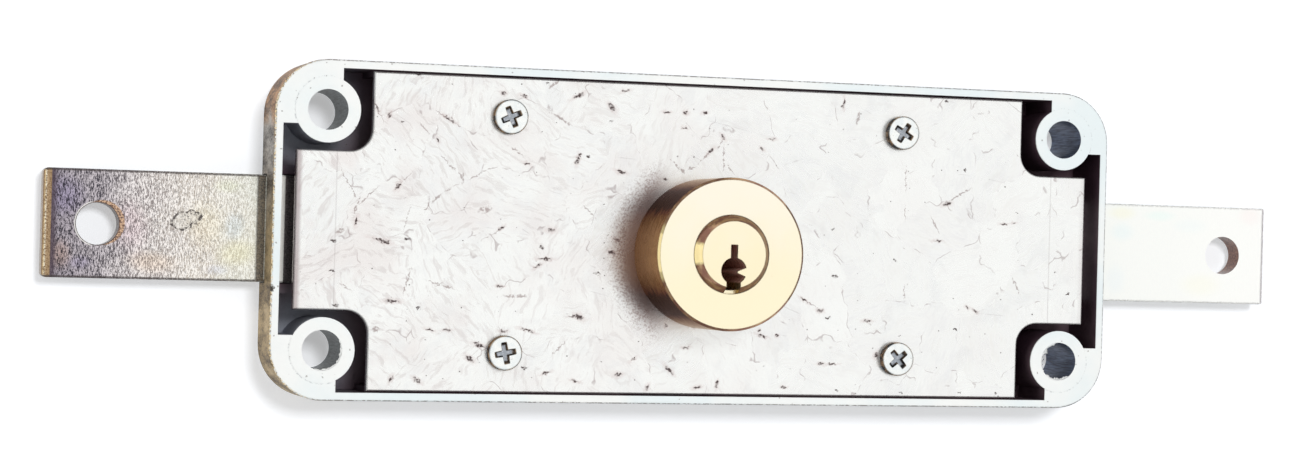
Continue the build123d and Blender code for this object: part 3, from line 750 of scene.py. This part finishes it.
def brass(name, face, golden, side_steps, fineness, bright_from):
    """Turned brass. The side's colour goes by how far it faces along X, a painted reflection, and a
    bevel gets a painted highlight where the direction that it faces has more than bright_from along -X."""
    material, tree, shader, mm = new_metal(name, BRASS_METALLIC, 0.34)
    centred = vectors("SUBTRACT", mm, (*cylinder_axis, 0))
    rings = use(turning, centred, Fineness=fineness)
    facing = facing_of(tree)
    side = fade(facing["Z"], 0.92, 0.8)
    steep = fade(facing["Z"], 0.55, 0.25)
    tarnish = noise(vectors("MULTIPLY", mm, (1, 1, 3)), 0.5, 5, 0.65)
    endways = plus(unsigned(facing["X"]), times(minus(tarnish, 0.5), 0.22))
    steep_colour = colour_steps(endways, side_steps)
    # A painted bright highlight on the part of a bevel that faces left.
    bevel_glint = fade(facing["X"], 0.012 - bright_from, -0.012 - bright_from)
    bevel_colour = mix(fade(tarnish, 0.4, 0.62), (0.24, 0.115, 0.08), (0.46, 0.29, 0.16))
    bevel_colour = mix(times(bevel_glint, 0.85), bevel_colour, (0.93, 0.78, 0.39))
    _, y, z = parts_of(centred)
    cloudy = times(minus(noise(mm, 0.16, 4, 0.6), 0.5), 16)
    face_colour = mix(fade(plus(y, cloudy), 12, -7), face, golden)
    rubbed = use(worn, mm, Radius=0.0002, Ragged=0.18)
    marks = use(flecks, mm, Along=3.5, Across=2.5, Size=0.045, Share=0.16, Ragged=0.5)
    inside = times(fade(z, plug_top - 0.35, plug_top - 0.7), fade(level_length(centred), 5, 4.8))
    colour = coats(face_colour, (side, mix(steep, bevel_colour, steep_colour)),
                   (rubbed, 0.9, (0.085, 0.048, 0.026)), (marks, 0.45, (0.55, 0.36, 0.16)),
                   (inside, (0.62, 0.38, 0.32)))
    rough = minus(plus(times(rings, 0.05), times(tarnish, 0.06), 0.2), times(side, 0.16))
    rough = plus(rough, times(steep, 0.18))
    finish(shader, colour, rough, rings, 0.0007, Metallic=minus(BRASS_METALLIC, times(inside, 0.6)),
           Specular_Tint=mix(steep, WHITE, steep_colour))
    return material


# Side colours by how far a side faces along X: partly tarnish, partly a painted reflection.
tarnish_and_reflection = [(0.1, (0.8, 0.66, 0.52)), (0.4, (0.46, 0.31, 0.22)), (0.58, (0.17, 0.095, 0.072)),
             (0.82, (0.17, 0.095, 0.06)), (0.97, (0.53, 0.34, 0.21)), (1, (0.57, 0.37, 0.22))]
plain_side = [(0, (0.42, 0.28, 0.14)), (1, (0.58, 0.42, 0.22))]
body_brass = brass("body_brass", (0.965, 0.9, 0.755), (0.975, 0.885, 0.64), tarnish_and_reflection, 5, 0.66)
plug_brass = brass("plug_brass", (0.98, 0.89, 0.7), (0.97, 0.865, 0.6), plain_side, 7, 0.775)
pin_brass = brass("pin_brass", (0.8, 0.66, 0.38), (0.74, 0.56, 0.28), plain_side, 9, 1.1)
dress(body_brass, "cylinder_body", "cylinder_nut", "chamber_caps")
dress(plug_brass, "plug")
dress(pin_brass, *[f"{kind}_{n}" for kind in ("key_pin", "driver_pin") for n in range(1, 5)])

# %% [markdown]
# ## Steel for the small parts
# The pinion is machined and lightly oiled, and the clip and the springs are bright spring steel.
# They show when the lock is opened up, so they too get machining lines, specks and an uneven shine.

# %% Small steel parts


def small_steel(name, dark, pale, roughness, stretch):
    """Plain steel with lines drawn along one direction."""
    material, tree, shader, mm = new_metal(name, 0.9, roughness)
    lines = stretched(mm, stretch, 4, 0.65)
    marks = use(flecks, mm, Along=1.8, Across=1.6, Size=0.08, Share=0.3, Ragged=0.3)
    colour = coats(mix(fade(lines, 0.3, 0.7), dark, pale), (marks, 0.5, (0.12, 0.1, 0.09)))
    finish(shader, colour, plus(times(lines, 0.25), roughness - 0.12), lines, 0.008)
    return material


dress(small_steel("machined_steel", (0.3, 0.29, 0.28), (0.56, 0.56, 0.55), 0.35, (3, 3, 0.6)), "pinion")
dress(small_steel("spring_steel", (0.42, 0.43, 0.45), (0.68, 0.69, 0.71), 0.28, (1, 1, 5)),
      "plug_clip", *[f"pin_spring_{n}" for n in range(1, 5)])

# %% [markdown]
# ## Cover screws
# The four screws have a low rounded head with a cross recess. A CAD solid of one has flat slots,
# so the heads are made again as a curved surface. A square grid is bent onto the disc of the
# head: x = u * sqrt(1 - v * v / 2) and y = v * sqrt(1 - u * u / 2), which carries the square's
# border to the circle. Its lines run along the arms of the cross, so the recess has clean walls.

# %% A square grid bent onto a disc


def disc_grid(lines):
    """x and y on the unit disc for a square grid with these line positions from -1 to 1."""
    u, v = np.meshgrid(lines, lines, indexing="ij")
    x = u * np.sqrt(1 - v * v / 2)
    y = v * np.sqrt(1 - u * u / 2)
    return u, v, x, y


def border_of(count):
    """Indices of the grid's border points, once round anticlockwise."""
    index = np.arange(count * count).reshape(count, count)
    return np.concatenate([index[:-1, 0], index[-1, :-1], index[:0:-1, -1], index[0, :0:-1]])


def grid_faces(count):
    """The four corners of each cell of a square grid, facing up."""
    index = np.arange(count * count).reshape(count, count)
    corners = index[:-1, :-1], index[1:, :-1], index[1:, 1:], index[:-1, 1:]
    return np.stack([c.ravel() for c in corners], axis=1)


def band_faces(first, second):
    """The quads between two closed loops of indices, facing away from the loops' axis when the
    second lies below the first."""
    return np.stack([np.roll(first, -1), first, second, np.roll(second, -1)], axis=1)


def new_piece(name, points, quads, material, body):
    """A smooth mesh from points in metres and quads, riding on a body."""
    mesh = bpy.data.meshes.new(name)
    mesh.from_pydata(points.tolist(), [], quads.tolist())
    mesh.polygons.foreach_set("use_smooth", np.ones(len(mesh.polygons), bool))
    mesh.materials.append(material)
    mesh.update()
    piece = bpy.data.objects.new(name, mesh)
    scene.collection.objects.link(piece)
    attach(piece, body)
    print(name, len(points), "points", len(quads), "faces")
    return piece


# %% [markdown]
# The height over the disc is the head's rounded profile less the recess. Each arm of the cross is
# a trough: its depth grows from its sides and its ends towards the middle and is cut off at the
# bottom. The deeper of the two troughs counts at each point. Below the rim the surface goes on as
# rings: down the side, in under the head, and down the shank to a closed end.

# %% Make one screw
HEAD_ROUND = 0.45
ARM_HALF, ARM_FLOOR = 0.176, 0.13
REACH_TOP, REACH_FLOOR = 0.64, 0.46
RECESS_DEEP = 0.9
SHANK_RADIUS = 1.48


def screw_surface(centre, top, seat, low, head_radius, shank_radius, turned):
    """Points and quads of a pan head screw, in mm. In words: z is the top less a
    quarter ellipse near the rim, less the depth of the cross."""
    spans = (0, ARM_FLOOR, 4), (ARM_FLOOR, ARM_HALF, 5), (ARM_HALF, REACH_TOP, 10), (REACH_TOP, 1, 13)
    half = np.unique(np.concatenate([np.linspace(*span) for span in spans]))
    lines = np.concatenate([-half[:0:-1], half])
    u, v, x, y = disc_grid(lines)
    radius = np.hypot(x, y)
    over = np.clip((radius - (1 - HEAD_ROUND / head_radius)) / (HEAD_ROUND / head_radius), 0, 1)
    z = top - HEAD_ROUND * 0.62 * (1 - np.sqrt(np.clip(1 - over * over, 0, 1)))

    def trough(a, b):
        across = (ARM_HALF - np.abs(b)) / (ARM_HALF - ARM_FLOOR)
        along = (REACH_TOP - np.abs(a)) / (REACH_TOP - REACH_FLOOR)
        return np.clip(np.minimum(across, along), 0, 1)

    z = z - RECESS_DEEP * np.maximum(trough(u, v), trough(v, u))
    points = [np.stack([x * head_radius, y * head_radius, z], axis=-1).reshape(-1, 3)]
    count = len(lines)
    loop = border_of(count)
    rim = points[0][loop, :2] / head_radius
    quads = [grid_faces(count)]
    edge = z.ravel()[loop].mean()
    rings = [(head_radius, edge - 0.15), (head_radius, seat + 0.12), (head_radius - 0.12, seat),
             (shank_radius, seat), (shank_radius, low + 0.3), (shank_radius - 0.3, low)]
    total = count * count
    for ring_radius, level in rings:
        points.append(np.column_stack([rim * ring_radius, np.full(len(rim), level)]))
        fresh = np.arange(total, total + len(rim))
        quads.append(band_faces(loop, fresh))
        loop, total = fresh, total + len(rim)
    points.append(np.array([[0.0, 0.0, low]]))
    around = np.roll(loop, -1)
    end = np.full(len(loop) // 2, total)
    quads.append(np.stack([end, np.roll(loop, -2)[::2], around[::2], loop[::2]], axis=1))
    points = np.concatenate(points)
    cos, sin = math.cos(turned), math.sin(turned)
    swung = np.column_stack([points[:, 0] * cos - points[:, 1] * sin + centre[0],
                             points[:, 0] * sin + points[:, 1] * cos + centre[1], points[:, 2]])
    return swung * MM, np.concatenate(quads)


# %% [markdown]
# The screws are bright zinc on steel, grey in patches on top. The cross is darker the deeper it
# goes, with pale smears, and the rounded flank of the head is a painted dark shade with painted
# gold-brown glints. Each screw stands where its CAD solid stands and replaces it, turned as it was
# left when it was driven home.

# %% Screw finish and the four screws
screw_metal, tree, shader, mm = new_metal("bright_zinc_screw", 0.85, 0.26)
z = parts_of(mm)["Z"]
screw_top = box_mm("cover_screw_left_lower")[1][2]
blotch = noise(mm, 0.9, 4, 0.6)
flank = fade(facing_of(tree)["Z"], 0.9, 0.72)
# The rounded flank of the head gets a painted dark shade with painted gold-brown glints.
flank_shade_and_glint = mix(fade(blotch, 0.42, 0.56), (0.03, 0.028, 0.03), (0.46, 0.3, 0.16))
deep = fade(z, screw_top - 0.3, screw_top - 0.4)
above_seat = fade(z, cover_top - 0.1, cover_top + 0.05)
inner = times(deep, minus(1, times(flank, 0.3)), above_seat)
smear = fade(noise(mm, 2.6), 0.52, 0.62)
# The cross is darker the deeper it goes, with pale smears.
inner_colour = mix(fade(z, screw_top - 0.7, screw_top - 0.85), (0.045, 0.05, 0.06), (0.3, 0.33, 0.37))
inner_colour = mix(times(smear, 0.6), inner_colour, (0.62, 0.63, 0.68))
marks = use(flecks, mm, Along=1.4, Across=1.1, Size=0.1, Share=0.3, Ragged=0.3)
colour = mix(fade(blotch, 0.35, 0.65), (0.82, 0.86, 0.86), (0.94, 0.95, 0.92))
colour = coats(colour, (flank, 0.92, flank_shade_and_glint), (inner, 0.92, inner_colour),
               (marks, 0.4, (0.24, 0.22, 0.2)))
finish(shader, colour, plus(times(blotch, 0.25), 0.14), minus(blotch, marks), 0.008,
       Specular_Tint=mix(flank, WHITE, flank_shade_and_glint))

screw_turns = {"left_lower": 11.0, "left_upper": 24.0, "right_lower": 40.0, "right_upper": -31.0}
for corner, degrees in screw_turns.items():
    node = f"cover_screw_{corner}"
    low, high = box_mm(node)
    points, quads = screw_surface((low + high)[:2] / 2, high[2], cover_top, low[2],
                                  (high - low)[0] / 2, SHANK_RADIUS, math.radians(degrees))
    screw = new_piece(f"pan_screw_{corner}", points, quads, screw_metal, "lock_case")
    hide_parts(node)

# %% [markdown]
# ## Flash in the fixing holes
# Where the two halves of the casting die meet, a thin skin of metal creeps out. It was never
# cleaned off two of the holes, and it hangs ragged over their edge. It is a thin wedge carried
# round the hole: its foot is in the wall and its tip reaches in by an amount that a sum of sines
# of the angle sets.

# %% Make the flash


def flash_surface(centre, hole_radius, top, start, end, reach, seed):
    """A ragged wedge along an arc of a hole. The tip's reach is |sum of sines| of the angle,
    shrunk to nothing at both ends of the arc."""
    steps = 90
    angle = np.linspace(math.radians(start), math.radians(end), steps)
    shift = np.random.default_rng(seed).uniform(0, math.tau, 5)
    waves = np.array([3.0, 7.0, 13.0, 23.0, 41.0])
    rough = np.abs((np.sin(angle[:, None] * waves + shift) / np.sqrt(waves)).sum(axis=1))
    ends = np.sin(np.linspace(0, math.pi, steps)) ** 0.5
    tip = reach * ends * (0.25 + 0.75 * rough)
    foot = hole_radius + 0.02
    level = np.ones(steps)
    section = [(foot * level, (top - 0.02) * level), (hole_radius - tip, top - 0.1 - 0.1 * rough),
               (hole_radius - tip * 0.9, top - 0.16 - 0.12 * rough), (foot * level, (top - 0.45) * level)]
    rows = [np.column_stack([centre[0] + r * np.cos(angle), centre[1] + r * np.sin(angle), z])
            for r, z in section]
    points = np.concatenate(rows)
    index = np.arange(4 * steps).reshape(4, steps)
    quads = [np.stack([index[k, 1:], index[k, :-1], index[(k + 1) % 4, :-1], index[(k + 1) % 4, 1:]], axis=1)
             for k in range(4)]
    caps = [index[::-1, 0][None, :], index[:, -1][None, :]]
    return points * MM, np.concatenate(quads + caps)


for name, signs, start, end, reach, seed in (("right_lower_a", (1, -1), 96, 215, 0.95, 4),
                                             ("right_lower_b", (1, -1), 225, 310, 0.85, 9),
                                             ("left_lower", (-1, -1), 240, 395, 0.6, 2)):
    points, quads = flash_surface(FIXING_HOLE * signs, HOLE_RADIUS, rim, start, end, reach, seed)
    new_piece(f"casting_flash_{name}", points, quads, case_metal, "lock_case")

# %% [markdown]
# ## Floor and light
# The lock lies on ground that is white to the camera and to reflections. It still takes the
# shadows, because only a part of its brightness is its own.

# %% Floor
floor_mesh = bpy.data.meshes.new("floor")
floor_mesh.from_pydata([(-3, -3, 0), (3, -3, 0), (3, 3, 0), (-3, 3, 0)], [], [(0, 1, 2, 3)])
floor = bpy.data.objects.new("floor", floor_mesh)
scene.collection.objects.link(floor)
floor_material = bpy.data.materials.new("white_ground")
floor_material.use_nodes = True
tree = floor_material.node_tree
tree.nodes.clear()
ray = add(tree, "LightPath").outputs
seen = larger(ray["Is Camera Ray"], ray["Is Glossy Ray"], ray["Is Transmission Ray"])
ground = add(tree, "BsdfDiffuse", {"Color": (0.7, 0.72, 0.75)})
glow = add(tree, "Emission", {"Color": WHITE, "Strength": times(seen, 0.4)})
both = add(tree, "AddShader", {0: ground, 1: glow})
add(tree, "OutputMaterial", {"Surface": both})
floor_mesh.materials.append(floor_material)

# %% [markdown]
# A small lamp almost overhead gives the short shadows. Polished metal would mirror it as a
# glaring spot, so the lamp doesn't count in reflections. There the metal sees a wide pale panel
# above its right half and a bright window low on the left: the panel makes the flat faces pale,
# and the window draws the bright lines on the round brass. Each lamp's power is worked out from
# the brightness that it should have.

# %% Lamps


def panel(name, place, size, brightness, target, in_reflections):
    """A flat lamp of a given brightness, seen either by matt surfaces or in reflections alone.
    Its power is brightness * pi * area."""
    data = bpy.data.lights.new(name, "AREA")
    data.shape = "RECTANGLE"
    data.size, data.size_y = size
    data.energy = brightness * math.pi * size[0] * size[1]
    lamp = bpy.data.objects.new(name, data)
    aim = (Vector(place) - Vector(target)).to_track_quat("Z", "Y")
    lamp.matrix_world = Matrix.Translation(place) @ aim.to_matrix().to_4x4()
    scene.collection.objects.link(lamp)
    lamp.visible_camera = False
    lamp.visible_glossy = in_reflections
    lamp.visible_diffuse = not in_reflections
    print(name, "at", place, "brightness", brightness)


panel("shadow_lamp", (0.05, 0.25, 1.08), (0.2, 0.2), 50.0, (0.0, 0.0, 0.0), False)
panel("ceiling_panel", (0.42, 0.1, 1.1), (1.5, 1.6), 0.6, (0.42, 0.1, 0.0), True)
panel("left_window", (-1.3, 0.0, 0.24), (0.9, 0.66), 3.2, (0.0, 0.0, 0.02), False)
panel("window_glow", (-1.31, 0.0, 0.24), (0.9, 0.66), 0.6, (0.0, 0.0, 0.02), True)

# %% World
world = bpy.data.worlds.new("room")
scene.world = world
world.use_nodes = True
tree = world.node_tree
background = tree.nodes["Background"].inputs
connect(WHITE, background["Color"])
connect(ramp(add(tree, "LightPath").outputs["Is Camera Ray"], 0, 1, 0.46, 1), background["Strength"])
scene.view_settings.view_transform = "Standard"
